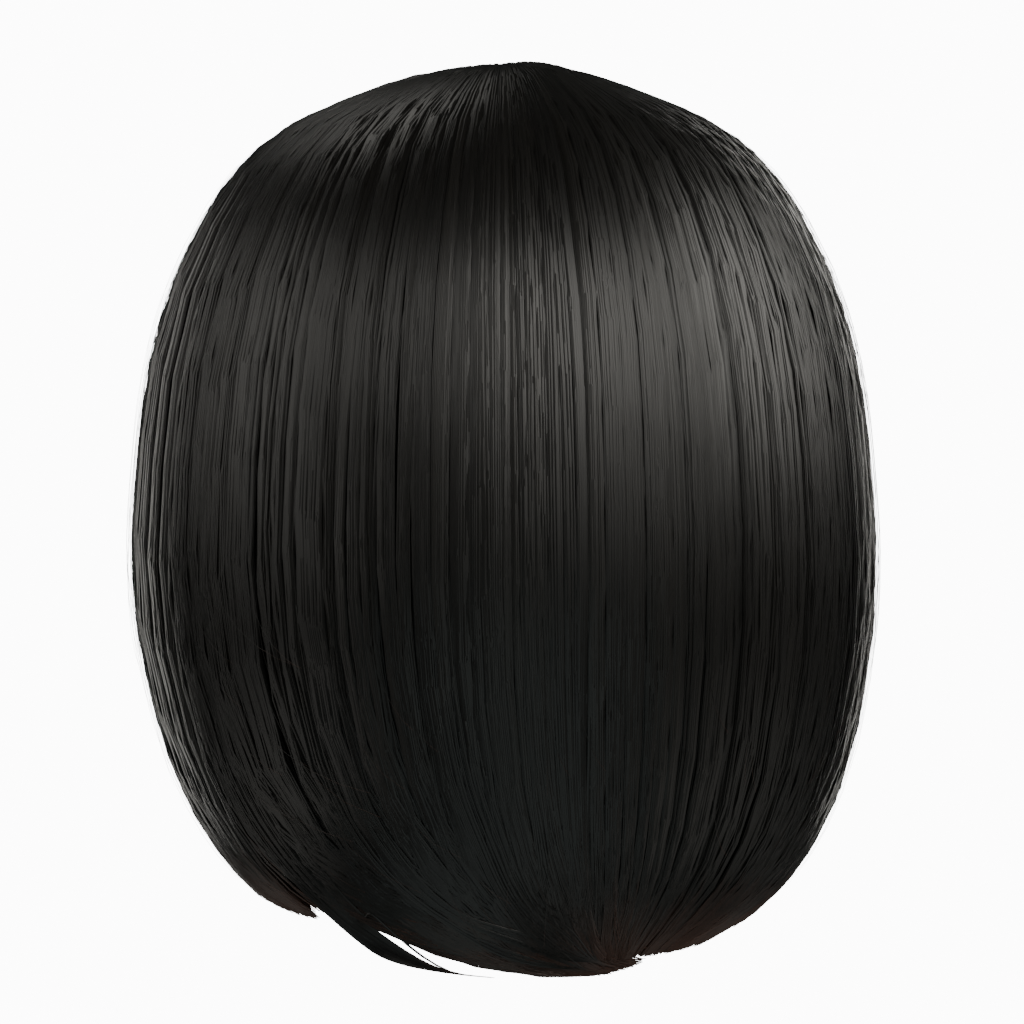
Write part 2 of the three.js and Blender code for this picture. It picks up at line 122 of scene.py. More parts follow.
@dataclass(frozen=True)
class Fall:
    """The shape in which the hair falls, from the parting to the hem."""

    side_reach: float
    back_reach: float
    front_reach: float
    top: float
    height: float
    hem_lean: float = 0.0045
    wall: float = 0.034
    head_half_breadth: float = 0.077
    head_half_length: float = 0.096
    head_drop: float = 0.1
    head_fullness: float = 2.3
    cap_room: float = 0.0029
    parting_half_width: float = 0.003
    parting_back: float = 0.03
    parting_front: float = 0.024
    root_stand: float = 0.0041
    root_rise: float = 0.045
    sweep_begin: float = 0.58
    sweep_power: float = 3.9
    crown_settling: float = 0.0019
    crown_hump: float = 0.0012
    crown_hump_x: float = -0.0105
    crown_hump_width: float = 0.011
    levelling: float = 0.13
    levelling_power: float = 6.0

    @staticmethod
    def column(values: tuple, share: np.ndarray) -> np.ndarray:
        """A column of the fall at some shares, on a smooth curve through its rows.

        Args:
            values: the column, in even steps.
            share: how far from crown to hem.

        Returns:
            The value at each share.
        """
        rows = np.asarray(values, float)
        last = len(rows) - 1
        place = np.clip(share, 0.0, 1.0) * last
        row = np.minimum(np.floor(place).astype(int), last - 1)
        start, end = rows[row], rows[row + 1]
        start_slope = (end - rows[np.maximum(row - 1, 0)]) / 2
        end_slope = (rows[np.minimum(row + 2, last)] - start) / 2
        t = place - row
        bend = 3 * (end - start) - 2 * start_slope - end_slope
        twist = start_slope + end_slope - 2 * (end - start)
        return start + t * (start_slope + t * (bend + t * twist))

    def share_at(self, drop: np.ndarray) -> np.ndarray:
        """The share of the way from crown to hem at which the hair has fallen so far."""
        steps = np.linspace(0.0, 1.0, 801)
        return np.interp(drop, self.column(FALL_DROP, steps), steps)

    def head_height(self, x: np.ndarray, y: np.ndarray, offset: float) -> np.ndarray:
        """The height of the head's top, grown by an offset, over a place.

        Args:
            x: the place's x.
            y: the place's y.
            offset: how much the head is grown.

        Returns:
            The height at each place.
        """
        flat = np.hypot(x / (self.head_half_breadth + offset), y / (self.head_half_length + offset))
        rise = np.clip(1 - flat**self.head_fullness, 0.0, 1.0) ** (1 / self.head_fullness)
        return -self.head_drop + (self.head_drop + offset) * rise

    def surface(self, azimuth: np.ndarray, share: np.ndarray) -> np.ndarray:
        """Points of the hair's outside.

        Args:
            azimuth: the azimuth of each point, in degrees.
            share: how far each is from crown to hem.

        Returns:
            The points, with x, y and z on the last axis.
        """
        angle = np.radians(azimuth)
        across, behind = np.sin(angle), np.cos(angle)
        back = behind > 0
        root_x = across * self.parting_half_width
        root_y = behind * np.where(back, self.parting_back, self.parting_front)
        root_z = self.head_height(root_x, root_y, self.root_stand)
        side = self.column(FALL_SIDE, share)
        along = np.where(back, self.column(FALL_BACK, share), self.column(FALL_FRONT, share))
        reach = behind * np.where(back, self.back_reach, self.front_reach)
        rise = ease(share, 0.0, self.root_rise)
        lean = self.hem_lean * self.column(FALL_LEAN, share)
        x = root_x + (across * self.side_reach - root_x) * side - lean
        y = root_y + (reach - root_y) * along
        z = root_z + (self.top - root_z) * rise - self.height * self.column(FALL_DROP, share)
        hump = self.crown_hump * np.exp(-(((x - self.crown_hump_x) / self.crown_hump_width) ** 2))
        z = z + (hump - self.crown_settling) * (1 - ease(share, 0.09, 0.22)) * rise
        return np.stack([x, y, z], axis=-1)

    def cores(self, points: np.ndarray) -> np.ndarray:
        """What each point lies over: the head's middle, or the neck's middle line below it."""
        core = np.zeros_like(points)
        core[..., 2] = np.minimum(points[..., 2], -self.head_drop)
        return core

    def outward(self, points: np.ndarray) -> np.ndarray:
        """The way out of the hair at each point, of length 1."""
        away = points - self.cores(points)
        return away / np.linalg.norm(away, axis=-1, keepdims=True)

    def head_reach(self, points: np.ndarray, way: np.ndarray) -> np.ndarray:
        """How far the cap's outside is from each point's core.

        Args:
            points: the points.
            way: the way out at each.

        Returns:
            The distance from each core, with a little room over the cap.
        """
        power = self.head_fullness
        breadth = self.head_half_breadth + self.cap_room
        length = self.head_half_length + self.cap_room
        height = self.head_drop + self.cap_room
        flat = np.hypot(way[..., 0] / breadth, way[..., 1] / length)
        below = np.clip((-self.head_drop - self.cores(points)[..., 2]) / height, 0.0, 1.0)
        up = np.where(below > 0, 0.0, np.abs(way[..., 2]) / height)
        over = (flat**power + up**power) ** (-1 / power)
        return over * (1 - below**power) ** (1 / power)

    def sunk(self, points: np.ndarray, depth: np.ndarray) -> np.ndarray:
        """Points moved in by a depth, but not into the cap.

        Args:
            points: points of the hair's outside.
            depth: how deep each goes. Below nought it stands out.

        Returns:
            The moved points.
        """
        core = self.cores(points)
        way = self.outward(points)
        distance = np.linalg.norm(points - core, axis=-1) - depth
        nearest = self.head_reach(points, way)
        return core + way * np.maximum(distance, nearest)[..., None]

    def wall_at(self, share: np.ndarray) -> np.ndarray:
        """The depth of the hair's wall at a share."""
        return self.wall * self.column(FALL_WALL, share)

    def swept(self, way: np.ndarray) -> np.ndarray:
        """How much of its sweep a strand has made at a share of its own way."""
        late = np.clip((way - self.sweep_begin) / (1 - self.sweep_begin), 0.0, 1.0)
        return late**self.sweep_power

    def levelled(self, way: np.ndarray) -> np.ndarray:
        """How far a strand has come down at a share of its own way, as it levels off along the hem."""
        late = self.levelling * way**self.levelling_power
        return (way - late) / (1 - self.levelling)


def merged_copy(node: bpy.types.Object, name: str) -> bpy.types.Object:
    """A copy of a CAD node with its loose triangles merged, left in edit mode with all of it selected.

    Args:
        node: the CAD node.
        name: the copy's name.

    Returns:
        The copy, active and selected.
    """
    piece = node.copy()
    piece.data = node.data.copy()
    piece.name = piece.data.name = name
    for key in list(piece.keys()):
        del piece[key]
    bpy.context.scene.collection.objects.link(piece)
    bpy.ops.object.select_all(action="DESELECT")
    bpy.context.view_layer.objects.active = piece
    piece.select_set(True)
    bpy.ops.object.mode_set(mode="EDIT")
    bpy.ops.mesh.select_all(action="SELECT")
    bpy.ops.mesh.remove_doubles(threshold=MERGE_DISTANCE)
    return piece


class HemStyle(Enum):
    """How a section of the hair ends."""

    SWEPT = "swept"
    LEVEL = "level"


class FinishNodes:
    """A new material, with short ways to lay out its nodes."""

    def __init__(self, name: str, roughness: float) -> None:
        """Starts the material with its one shader.

        Args:
            name: the material's name.
            roughness: the shader's roughness.
        """
        self.material = bpy.data.materials.new(name)
        self.material.use_nodes = True
        self.tree = self.material.node_tree
        self.shader = self.tree.nodes["Principled BSDF"]
        self.fill(self.shader, {"Roughness": roughness})

    def fill(self, node: bpy.types.Node, inputs: dict) -> None:
        """Sets some inputs of a node.

        Args:
            node: the node.
            inputs: a value, or another node's output, for each input's name or number.
        """
        for key, value in inputs.items():
            if isinstance(value, bpy.types.NodeSocket):
                self.tree.links.new(value, node.inputs[key])
            else:
                node.inputs[key].default_value = value

    def add(self, kind: str, output: str, inputs: dict, **options: str) -> bpy.types.NodeSocket:
        """Adds a node.

        Args:
            kind: the node's type, without its first words.
            output: the name of the output that is wanted.
            inputs: a value, or another node's output, for each input's name or number.
            options: the node's own options.

        Returns:
            The output.
        """
        node = self.tree.nodes.new(f"ShaderNode{kind}")
        for option, choice in options.items():
            setattr(node, option, choice)
        self.fill(node, inputs)
        return node.outputs[output]

    def place(self) -> bpy.types.NodeSocket:
        """The place on the object, in metres."""
        return self.add("TexCoord", "Object", {})

    def mix(self, first: object, second: object, factor: bpy.types.NodeSocket) -> bpy.types.NodeSocket:
        """One colour changed into another by a factor.

        Args:
            first: the colour, or an output, at a factor of 0.
            second: the colour, or an output, at a factor of 1.
            factor: the output that mixes them.

        Returns:
            The mixed colour.
        """
        inputs = {"A": first, "B": second, "Factor": factor}
        return self.add("Mix", "Result", inputs, data_type="RGBA")

    def ramp(self, value: bpy.types.NodeSocket, *stops: tuple) -> bpy.types.NodeSocket:
        """The colour of a value on a ramp.

        Args:
            value: the value.
            stops: the position and colour of the ramp's two stops.

        Returns:
            The colour.
        """
        colour = self.add("ValToRGB", "Color", {"Fac": value})
        for stop, (position, shown) in zip(colour.node.color_ramp.elements, stops):
            stop.position, stop.color = position, shown
        return colour

    def raise_by(self, height: bpy.types.NodeSocket, strength: float, distance: float) -> None:
        """Bumps the surface by a height.

        Args:
            height: the height's output.
            strength: how strong the bump is.
            distance: how high a height of 1 stands, in metres.
        """
        inputs = {"Strength": strength, "Distance": distance, "Height": height}
        self.fill(self.shader, {"Normal": self.add("Bump", "Normal", inputs)})


@dataclass(frozen=True)
class HairFinish:
    """Straight near-black synthetic hair: a soft sheen, uneven strands, and ends painted browner as a
    painted glow of light shining through them.
    """

    name: str = "black_hair"
    dark: tuple = (0.0035, 0.0033, 0.0031, 1.0)
    light: tuple = (0.0105, 0.0096, 0.0084, 1.0)
    # Painted light: the ends' browner colour stands in for light shining through the thin tips, a painted
    # glow.
    ends: tuple = (0.08, 0.036, 0.024, 1.0)
    roots: tuple = (0.03, 0.031, 0.03, 1.0)
    painted_glow_from: float = 0.86
    painted_glow_strength: float = 0.75
    roots_until: float = 0.02
    roots_strength: float = 0.8
    roughness: float = 0.35
    specular: float = 0.5
    ior: float = 1.5

    def material(self) -> bpy.types.Material:
        """The finish as nodes. A strand's UV holds its own shade across and its length along."""
        finish = FinishNodes(self.name, self.roughness)
        finish.fill(finish.shader, {"IOR": self.ior, "Specular IOR Level": self.specular})
        place = finish.add("UVMap", "UV", {}, uv_map="strand")
        parts = finish.add("SeparateXYZ", "X", {"Vector": place}).node.outputs
        none = (0, 0, 0, 1)
        painted_glow, all_roots = (*[self.painted_glow_strength] * 3, 1), (*[self.roots_strength] * 3, 1)
        # This ramp is the mask of the painted glow at the ends. It rises towards the tips.
        along = finish.ramp(parts["Y"], (self.painted_glow_from, none), (1.0, painted_glow))
        rooted = finish.ramp(parts["Y"], (0.0, all_roots), (self.roots_until, none))
        colour = finish.mix(self.dark, self.light, parts["X"])
        colour = finish.mix(colour, self.ends, along)
        finish.fill(finish.shader, {"Base Color": finish.mix(colour, self.roots, rooted)})
        return finish.material


@dataclass(frozen=True)
class UnderHairFinish:
    """The dark packed hair under the strands, with fine grooves that run down it."""

    name: str = "packed_hair"
    dark: tuple = (0.003, 0.0028, 0.0026, 1.0)
    light: tuple = (0.009, 0.0082, 0.0074, 1.0)
    grooves_per_metre: tuple = (900, 900, 18)
    roughness: float = 0.55

    def material(self) -> bpy.types.Material:
        """The finish as nodes, with its grooves drawn out along the height."""
        finish = FinishNodes(self.name, self.roughness)
        drawn = finish.add("Mapping", "Vector", {"Vector": finish.place(), "Scale": self.grooves_per_metre})
        grooves = finish.add("TexNoise", "Fac", {"Vector": drawn, "Scale": 1.0, "Detail": 3.0})
        finish.fill(finish.shader, {"Base Color": finish.mix(self.dark, self.light, grooves)})
        finish.raise_by(grooves, 0.6, 0.0006)
        return finish.material


@dataclass(frozen=True)
class NetFinish:
    """Matt black stretch net, with the ribs of the sewn wefts showing through."""

    name: str = "cap_net"
    thread: tuple = (0.012, 0.0115, 0.011, 1.0)
    gap: tuple = (0.0015, 0.0015, 0.0015, 1.0)
    mesh_pitch: float = 0.0016
    weft_pitch: float = 0.011
    wave_scale: float = 0.314
    weft_height: float = 2.5
    roughness: float = 0.85
    specular: float = 0.3

    def material(self) -> bpy.types.Material:
        """The finish as nodes: two crossed waves for the net, and one up the height for the wefts."""
        finish = FinishNodes(self.name, self.roughness)
        finish.fill(finish.shader, {"Specular IOR Level": self.specular})
        place = finish.place()
        threads = []
        for turn in (math.radians(45), math.radians(-45)):
            turned = finish.add("Mapping", "Vector", {"Vector": place, "Rotation": (turn, turn, turn)})
            inputs = {"Vector": turned, "Scale": self.wave_scale / self.mesh_pitch}
            threads.append(finish.add("TexWave", "Fac", inputs, bands_direction="Z"))
        crossed = finish.add("Math", "Value", dict(enumerate(threads)), operation="MAXIMUM")
        inputs = {"Vector": place, "Scale": self.wave_scale / self.weft_pitch, "Distortion": 0.4}
        weft = finish.add("TexWave", "Fac", inputs, bands_direction="Z")
        rib = finish.add("Math", "Value", {0: weft, 1: 6.0}, operation="POWER")
        inputs = {0: rib, 1: self.weft_height, 2: crossed}
        both = finish.add("Math", "Value", inputs, operation="MULTIPLY_ADD")
        finish.fill(finish.shader, {"Base Color": finish.mix(self.gap, self.thread, crossed)})
        finish.raise_by(both, 0.7, 0.0005)
        return finish.material


@dataclass(frozen=True)
class ScalpFinish:
    """The grey-beige false scalp in the parting, pricked where each hair is knotted in."""

    name: str = "scalp_strip"
    skin: tuple = (0.2, 0.18, 0.165, 1.0)
    knot: tuple = (0.02, 0.019, 0.018, 1.0)
    knot_pitch: float = 0.0011
    roughness: float = 0.7

    def material(self) -> bpy.types.Material:
        """The finish as nodes, with a dot at each knot."""
        finish = FinishNodes(self.name, self.roughness)
        inputs = {"Vector": finish.place(), "Scale": 1.0 / self.knot_pitch}
        knots = finish.add("TexVoronoi", "Distance", inputs)
        finish.fill(finish.shader, {"Base Color": finish.ramp(knots, (0.18, self.knot), (0.36, self.skin))})
        finish.raise_by(knots, 0.4, 0.0003)
        return finish.material


@dataclass
class Tress:
    """Strands that are made together, each with its own place, length, depth and width.

    Azimuths, the centres they gather to and the turns they make are in degrees. Starts and ends are shares
    of the fall. The shade is from 0 to 1. The wander holds a strand's phase and its swing in degrees.
    """

    azimuth: np.ndarray
    centre: np.ndarray
    start: np.ndarray
    end: np.ndarray
    turn: np.ndarray
    depth: np.ndarray
    groove: np.ndarray
    gather: np.ndarray
    width: np.ndarray
    shade: np.ndarray
    wander: np.ndarray


@dataclass
class Strands:
    """Turns tresses into one mesh of thin, closed, tapered tubes.

    A tube's flat side faces out. Its root and tip are shares of its width, and its evenness is how strongly
    its shading leans to the way out of the hair as a whole.
    """

    fall: Fall
    rings: int = 18
    sides: int = 3
    flatness: float = 0.6
    evenness: float = 2.4
    root: float = 0.55
    root_end: float = 0.12
    tip: float = 0.3
    tip_begin: float = 0.84
    crowding: float = 0.3
    gather_begin: float = 0.62
    waves: float = 1.3

    def ways(self, tress: Tress) -> tuple[np.ndarray, np.ndarray]:
        """Where the rings of each strand lie, closer together at its two ends.

        Args:
            tress: the strands.

        Returns:
            The share of each strand's own way, and the share of the whole fall, at each ring.
        """
        t = np.linspace(0.0, 1.0, self.rings)[None, :]
        uneven = (tress.wander[:, :1] - 0.5) / (self.rings - 1)
        t = t + uneven * np.clip(8 * t * (1 - t), 0, 1)
        eased = t - self.crowding * np.sin(2 * np.pi * t) / (2 * np.pi)
        begin = (tress.start / tress.end * (1 - self.fall.levelling))[:, None]
        way = begin + (1 - begin) * eased
        return way, tress.end[:, None] * self.fall.levelled(way)

    def paths(self, tress: Tress) -> np.ndarray:
        """The middle lines of a tress's strands, by strand and ring."""
        way, share = self.ways(tress)
        gathered = tress.gather[:, None] * ease(way, self.gather_begin, 1.0)
        azimuth = tress.azimuth[:, None] + (tress.centre - tress.azimuth)[:, None] * gathered
        azimuth = azimuth + tress.turn[:, None] * self.fall.swept(way)
        wave = np.sin(2 * np.pi * (share * self.waves + tress.wander[:, :1])) * tress.wander[:, 1:2]
        azimuth = azimuth + wave * ease(share, 0.1, 0.5)
        depth = tress.depth[:, None] + tress.groove[:, None] * ease(share, 0.1, 0.42)
        return self.fall.sunk(self.fall.surface(azimuth, share), depth)

    def mesh(self, name: str, lines: np.ndarray, width: np.ndarray, shade: np.ndarray) -> bpy.types.Object:
        """One mesh of closed tubes along lines.

        Args:
            name: the new object's name.
            lines: the middle points, by strand and ring.
            width: each strand's width.
            shade: each strand's own shade, from 0 to 1.

        Returns:
            The new object, linked to the scene.
        """
        count, rings = lines.shape[:2]
        tangent = np.gradient(lines, axis=1)
        tangent /= np.linalg.norm(tangent, axis=-1, keepdims=True)
        out = self.fall.outward(lines)
        across = np.cross(tangent, out)
        across /= np.linalg.norm(across, axis=-1, keepdims=True)
        out = np.cross(across, tangent)
        along = np.linspace(0.0, 1.0, rings)
        taper = self.root + (1 - self.root) * ease(along, 0.0, self.root_end)
        taper = taper * (1 - (1 - self.tip) * ease(along, self.tip_begin, 1.0))
        half = (width[:, None] * taper / 2)[..., None]
        angles = np.radians(-90 + 360 / self.sides * np.arange(self.sides))
        ring = [
            lines + across * half * math.cos(a) + out * half * (math.sin(a) * self.flatness) for a in angles
        ]
        points = np.stack(ring, axis=2).reshape(-1, 3)
        round_off = [across * math.cos(a) + out * math.sin(a) for a in angles]
        even = self.evenness * out
        normals = np.stack([way + even * (math.sin(a) > 0) for way, a in zip(round_off, angles)], axis=2)
        normals = normals.reshape(-1, 3)
        normals /= np.linalg.norm(normals, axis=-1, keepdims=True)
        faces, ends = self.faces(count, rings)
        mesh = bpy.data.meshes.new(name)
        mesh.vertices.add(len(points))
        mesh.vertices.foreach_set("co", points.astype(np.float32).ravel())
        corners = np.concatenate([faces.ravel(), ends.ravel()])
        mesh.loops.add(len(corners))
        mesh.loops.foreach_set("vertex_index", corners.astype(np.int32))
        starts = np.concatenate([np.arange(len(faces)) * 4, len(faces) * 4 + np.arange(len(ends)) * 3])
        mesh.polygons.add(len(starts))
        mesh.polygons.foreach_set("loop_start", starts.astype(np.int32))
        mesh.update(calc_edges=True)
        mesh.polygons.foreach_set("use_smooth", np.ones(len(starts), bool))
        uv = mesh.uv_layers.new(name="strand")
        strand = corners // (rings * self.sides)
        level = (corners // self.sides) % rings
        own = np.stack([shade[strand], along[level]], axis=-1)
        uv.data.foreach_set("uv", own.astype(np.float32).ravel())
        mesh.validate()
        mesh.normals_split_custom_set_from_vertices(normals.tolist())
        piece = bpy.data.objects.new(name, mesh)
        bpy.context.scene.collection.objects.link(piece)
        return piece

    def faces(self, count: int, rings: int) -> tuple[np.ndarray, np.ndarray]:
        """The quads round every strand and the triangles that close its two ends.

        Args:
            count: how many strands.
            rings: how many rings each has.

        Returns:
            The quads and the triangles, by vertex number.
        """
        sides = self.sides
        base = (np.arange(count) * rings * sides)[:, None, None]
        row = (np.arange(rings - 1) * sides)[None, :, None]
        side = np.arange(sides)[None, None, :]
        nearer, later = base + row + side, base + row + (side + 1) % sides
        quads = np.stack([nearer, nearer + sides, later + sides, later], axis=-1).reshape(-1, 4)
        first = base[:, 0, 0]
        last = first + (rings - 1) * sides
        roots = np.stack([first, first + 1, first + 2], axis=-1)
        tips = np.stack([last + 2, last + 1, last], axis=-1)
        return quads, np.concatenate([roots, tips])


@dataclass(frozen=True)
class LooseLock:
    """A lock that lies over the rest of the hair and draws in to a point.

    Its reach outward and inward of its line, and its lean, are in degrees, and its thickness is a share.
    """

    name: str
    azimuths: tuple
    drops: tuple
    strands: int
    outward: float = 1.0
    inward: float = 4.5
    skew: float = 1.3
    lean: float = 1.25
    thickness: float = 0.0055
    raised: float = 0.0004
    uneven_ends: float = 0.12

    def lines(self, fall: Fall, dice: np.random.Generator, rings: int) -> np.ndarray:
        """The middle lines of the lock's strands.

        Args:
            fall: the shape of the fall.
            dice: the section's own random numbers.
            rings: how many points each line has.

        Returns:
            The points, by strand and ring.
        """
        count = self.strands
        start = dice.uniform(0.0, 0.3, count)[:, None]
        end = 1 - self.uneven_ends * (dice.random(count) ** 2)[:, None]
        way = start + (end - start) * np.linspace(0.0, 1.0, rings)[None, :]
        astray = np.where(np.arange(count) % 16 == 0, 1.6, 1.0)[:, None]
        reach = self.outward + self.inward
        place = (self.outward - reach * dice.random(count) ** self.skew)[:, None] * astray
        spread = ease(way, 0.5, 0.7) * (1 - ease(way, 0.7, 0.92))
        azimuth = fall.column(self.azimuths, way) + place * (0.25 + self.lean * (1 - ease(way, 0.68, 0.92)))
        share = fall.share_at(fall.column(self.drops, way) + self.thickness * place * spread)
        depth = dice.uniform(-self.raised, 0.001, count)[:, None] * (1 - 0.6 * ease(way, 0.6, 1.0))
        return fall.sunk(fall.surface(azimuth, share), depth + 0.0012 * (1 - ease(way, 0.1, 0.35)))


# The thin lock that hangs loose at the wearer's left of the back, and two whose tips flick out over the
# hem. Each has its azimuths and drops in even steps.
WISP = LooseLock(
    "wisp",
    (58, 57.5, 56.5, 54.5, 51.5, 48.5, 46.5, 45, 42, 34, 22, 9),
    (0.52, 0.63, 0.72, 0.8, 0.86, 0.905, 0.938, 0.959, 0.976, 0.988, 0.996, 0.9999),
    strands=110,
)
FLICK = LooseLock(
    "flick",
    (9, 9, 8.5, 7, 4, 1, -3, -9, -16, -23, -30.5),
    (0.42, 0.55, 0.68, 0.78, 0.85, 0.9, 0.93, 0.955, 0.973, 0.983, 0.99),
    strands=70, outward=2.4, inward=2.4, skew=1.0, uneven_ends=0.06,
)
LONG_FLICK = LooseLock(
    "long_flick",
    (31, 31, 30, 28, 24, 18, 10, 0, -11, -20, -28),
    (0.45, 0.58, 0.7, 0.8, 0.87, 0.917, 0.945, 0.965, 0.981, 0.991, 0.996),
    strands=60, outward=2.4, inward=2.4, skew=1.0, uneven_ends=0.06,
)


@dataclass
class HairSection:
    """One section of the hair: packed hair underneath, and the strands over, inside and under it.

    It runs between two azimuths. Widths of locks and creases are in degrees, and other sizes in metres.
    """

    node: str
    start: float
    end: float
    outer: int
    inner: int
    hem: int
    seed: int
    style: HemStyle = HemStyle.SWEPT
    level_drop: float = 0.425
    hem_border: float = -4.0
    creases: tuple = ()
    crease_depth: float = 0.001
    crease_width: float = 0.8
    from_crown: float = 0.55
    gather: tuple = (0.32, 0.12)
    swing: float = 0.3
    strays: int = 0
    stray_width: tuple = (0.00012, 0.0002)
    stray_stand: tuple = (0.0003, 0.0022)
    loose_locks: tuple = ()
    lock_width: tuple = (5.0, 10.5)
    tufts_in_lock: tuple = (3, 6)
    lock_groove: float = 0.0007
    tuft_groove: float = 0.00025
    loose_depth: float = 0.00035
    strand_width: tuple = (0.00045, 0.0008)
    inner_width: tuple = (0.0009, 0.0014)
    tip_spread: float = 0.001
    edges: tuple = ()
    edge_strands: int = 0
    edge_from: float = 0.3
    filling_from: float = 0.66
    piece_limit: int = 2000
    packed_inset: float = 0.0022
    packed_end: float = 0.024

    def hem_share(self, fall: Fall, azimuth: np.ndarray, turn: np.ndarray) -> np.ndarray:
        """The share at which strands reach the hem.

        Args:
            fall: the shape of the fall.
            azimuth: where each strand ends.
            turn: how far each sweeps round, which tells where it comes from.

        Returns:
            The share of the fall at each strand's end.
        """
        if self.style is HemStyle.LEVEL:
            return fall.share_at(np.full_like(azimuth, self.level_drop))
        from_left = looked_up(HEM_FROM_LEFT, azimuth)
        from_right = looked_up(HEM_FROM_RIGHT, azimuth)
        return fall.share_at(np.where(azimuth - turn < self.hem_border, from_right, from_left))

    def sweep(self, azimuth: np.ndarray) -> np.ndarray:
        """How far an outermost strand from an azimuth sweeps round."""
        if self.style is HemStyle.LEVEL:
            return np.zeros_like(azimuth)
        return looked_up(SWEEP, azimuth)

    def locks(self, dice: np.random.Generator, least: float, most: float) -> np.ndarray:
        """Borders across the section, from its start to its end, at uneven distances.

        Args:
            dice: the section's own random numbers.
            least: the narrowest distance, in degrees.
            most: the widest distance, in degrees.

        Returns:
            The borders' azimuths.
        """
        widths = dice.uniform(least, most, int((self.end - self.start) / least) + 2)
        borders = np.concatenate([[0.0], np.cumsum(widths)])
        count = int(np.searchsorted(borders, self.end - self.start))
        borders = borders[: max(count, 1) + 1]
        return self.start + (self.end - self.start) * borders / borders[-1]

    def outer_tress(self, fall: Fall, dice: np.random.Generator) -> Tress:
        """The strands on the outside, in locks and in tufts within the locks.

        Args:
            fall: the shape of the fall.
            dice: the section's own random numbers.

        Returns:
            The strands.
        """
        azimuth = np.sort(dice.uniform(self.start, self.end, self.outer))
        locks = self.locks(dice, *self.lock_width)
        lock = np.clip(np.searchsorted(locks, azimuth) - 1, 0, len(locks) - 2)
        in_lock = (azimuth - locks[lock]) / (locks[lock + 1] - locks[lock])
        tufts = [
            np.linspace(a, b, dice.integers(*self.tufts_in_lock) + 1)[:-1] for a, b in zip(locks, locks[1:])
        ]
        tufts = np.append(np.concatenate(tufts), self.end)
        tuft = np.clip(np.searchsorted(tufts, azimuth) - 1, 0, len(tufts) - 2)
        middles = (tufts[:-1] + tufts[1:]) / 2
        middles[0], middles[-1] = self.start, self.end
        in_tuft = (azimuth - tufts[tuft]) / (tufts[tuft + 1] - tufts[tuft])
        lock_mood = dice.normal(0, 1, len(locks))[lock]
        tuft_mood = dice.normal(0, 1, len(tufts))[tuft]
        strength = np.clip(0.9 + 0.08 * lock_mood + 0.05 * tuft_mood, 0.6, 1.05)
        buried = dice.random(self.outer) ** 1.6
        groove = self.lock_groove * np.abs(2 * in_lock - 1) ** 3.0 * np.clip(1 + 0.4 * lock_mood, 0.2, 2)
        groove += self.tuft_groove * np.abs(2 * in_tuft - 1) ** 2.0 + 0.00014 * tuft_mood
        for crease in self.creases:
            groove += self.crease_depth * np.exp(-(((azimuth - crease) / self.crease_width) ** 2))
        turn = self.sweep(azimuth) * strength * (1 - 0.4 * buried)
        ends = azimuth + turn
        phase, swing = dice.random(len(middles)), dice.normal(0, self.swing, len(middles))
        swing[0] = swing[-1] = 0.0
        whole = dice.random(self.outer) < self.from_crown
        start = np.where(whole, 0.0, 0.03 + 0.3 * dice.random(self.outer))
        short = self.tip_spread * dice.gamma(1.2, 0.9, self.outer)
        end = self.hem_share(fall, ends, turn) - (short - 0.0003 * tuft_mood - 0.0006) / fall.height
        gather = dice.normal(*self.gather, len(tufts))[tuft] + dice.normal(0, 0.08, self.outer)
        width = dice.uniform(*self.strand_width, self.outer)
        shade = 0.45 + 0.12 * tuft_mood + 0.09 * lock_mood + dice.normal(0, 0.12, self.outer)
        return Tress(
            azimuth=azimuth,
            centre=middles[tuft],
            start=start,
            end=np.minimum(end, LAST_SHARE),
            turn=turn,
            depth=self.loose_depth * buried - 0.0002 + 0.0006 * (start > 0),
            groove=np.maximum(groove, 0),
            gather=np.clip(gather, 0.1, 0.9),
            width=width,
            shade=np.clip(shade, 0, 1),
            wander=np.stack([phase[tuft], swing[tuft] + dice.normal(0, 0.08, self.outer)], axis=-1),
        )

    def plain_tress(
        self, fall: Fall, dice: np.random.Generator, count: int, layer: tuple, begin: float
    ) -> Tress:
        """Strands with no locks, at a depth within the wall.

        Args:
            fall: the shape of the fall.
            dice: the section's own random numbers.
            count: how many strands.
            layer: the least and most depth, as shares of the wall.
            begin: the share at which they start.

        Returns:
            The strands.
        """
        azimuth = np.sort(dice.uniform(self.start + 0.4, self.end - 0.4, count))
        deep = dice.uniform(*layer, count)
        turn = self.sweep(azimuth) * (0.85 - 0.6 * deep)
        end = self.hem_share(fall, azimuth + turn, turn) - 0.004 / fall.height * dice.random(count) ** 2
        middle = fall.wall_at((begin + end) / 2)
        return Tress(
            azimuth=azimuth,
            centre=azimuth,
            start=np.full(count, begin) + 0.04 * dice.random(count),
            end=np.minimum(end, LAST_SHARE),
            turn=turn,
            depth=deep * middle,
            groove=np.zeros(count),
            gather=np.zeros(count),
            width=dice.uniform(*self.inner_width, count),
            shade=dice.uniform(0.1, 0.7, count),
            wander=np.stack([dice.random(count), dice.normal(0, 0.5, count)], axis=-1),
        )

